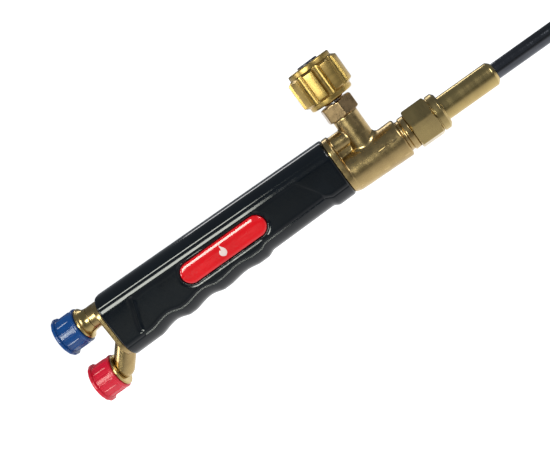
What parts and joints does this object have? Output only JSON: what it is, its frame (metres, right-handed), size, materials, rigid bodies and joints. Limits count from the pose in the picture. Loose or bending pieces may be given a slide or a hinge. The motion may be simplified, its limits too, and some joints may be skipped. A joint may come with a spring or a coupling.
{
  "type": "gas welding torch",
  "caption": "Hand torch with a moulded grip, two capped gas inlets, two needle valves, a mixer held by a union nut and a bent tip with a nozzle.",
  "frame": {"origin": "on the oxygen inlet's axis, at the middle of its hose thread", "axes": "+X along the torch from the inlets towards the tip; +Z towards the oxygen knob; the fuel knob is on the +Y side"},
  "size_m": [0.4627, 0.0652, 0.115],
  "materials": {
    "handle_plastic": "glossy moulded",
    "badge_red": "glossy domed",
    "cap_blue": "soft moulded",
    "cap_red": "soft moulded",
    "cast_brass": "satin, machined and cast",
    "turned_brass": "satin turned",
    "dark_brass": "dull machined",
    "bright_brass": "bright milled",
    "copper": "drawn copper",
    "dark_chrome": "dark polished",
    "steel": "turned",
    "seal": "matt",
    "disc_plastic": "smooth"
  },
  "bodies": {
    "root": {"handle_right_shell": "handle_plastic", "handle_left_shell": "handle_plastic", "handle_screws": "steel", "right_badge": "badge_red", "left_badge": "badge_red", "oxygen_pipe": "copper", "fuel_pipe": "copper", "inlet_block": "cast_brass", "oxygen_inlet_nipple": "turned_brass", "fuel_inlet_nipple": "turned_brass", "valve_body": "cast_brass", "injector": "turned_brass", "oxygen_packing": "seal", "oxygen_gland_washer": "steel", "oxygen_gland_nut": "dark_brass", "fuel_packing": "seal", "fuel_gland_washer": "steel", "fuel_gland_nut": "dark_brass"},
    "oxygen_stem": {"oxygen_spindle": "steel"},
    "oxygen_handwheel": {"oxygen_knob": "bright_brass", "oxygen_knob_nut": "steel", "oxygen_knob_disc": "disc_plastic"},
    "fuel_stem": {"fuel_spindle": "steel"},
    "fuel_handwheel": {"fuel_knob": "bright_brass", "fuel_knob_nut": "steel", "fuel_knob_disc": "disc_plastic"},
    "thrust_ring": {"union_thrust_ring": "steel"},
    "union": {"union_nut": "turned_brass"},
    "tip": {"mixer_tube": "turned_brass", "mixer_o_rings": "seal", "tip_tube": "dark_chrome", "nozzle": "copper"},
    "blue_cap": {"oxygen_cap": "cap_blue"},
    "red_cap": {"fuel_cap": "cap_red"}
  },
  "joints": [
    {"name": "oxygen_stem_lift", "type": "slide", "parent": "root", "child": "oxygen_stem", "axis": [0, 0, 1], "range_m": [0, 0.00281]},
    {"name": "oxygen_knob_turn", "type": "hinge", "parent": "oxygen_stem", "child": "oxygen_handwheel", "pos_m": [0.209, 0, -0.02], "axis": [0, 0, 1], "range_deg": [0, 812]},
    {"name": "fuel_stem_lift", "type": "slide", "parent": "root", "child": "fuel_stem", "axis": [0, 1, 0], "range_m": [0, 0.00281]},
    {"name": "fuel_knob_turn", "type": "hinge", "parent": "fuel_stem", "child": "fuel_handwheel", "pos_m": [0.2006, 0, -0.02], "axis": [0, 1, 0], "range_deg": [0, 812]},
    {"name": "union_nut_travel", "type": "slide", "parent": "root", "child": "thrust_ring", "axis": [1, 0, 0], "range_m": [0, 0.009]},
    {"name": "union_nut_turn", "type": "hinge", "parent": "thrust_ring", "child": "union", "pos_m": [0.2391, 0, -0.02], "axis": [1, 0, 0], "range_deg": [0, 2164]},
    {"name": "tip_swivel", "type": "hinge", "parent": "root", "child": "tip", "pos_m": [0.2491, 0, -0.02], "axis": [1, 0, 0], "continuous": true},
    {"name": "blue_cap_pull", "type": "slide", "parent": "root", "child": "blue_cap", "axis": [-1, 0, 0], "range_m": [0, 0.03]},
    {"name": "red_cap_pull", "type": "slide", "parent": "root", "child": "red_cap", "axis": [-1, 0, 0], "range_m": [0, 0.03]}
  ],
  "couplings": [
    {"joint": "oxygen_knob_turn", "follows": "oxygen_stem_lift", "rad_per_m": 5026.5},
    {"joint": "fuel_knob_turn", "follows": "fuel_stem_lift", "rad_per_m": 5026.5},
    {"joint": "union_nut_turn", "follows": "union_nut_travel", "rad_per_m": 4188.8}
  ]
}
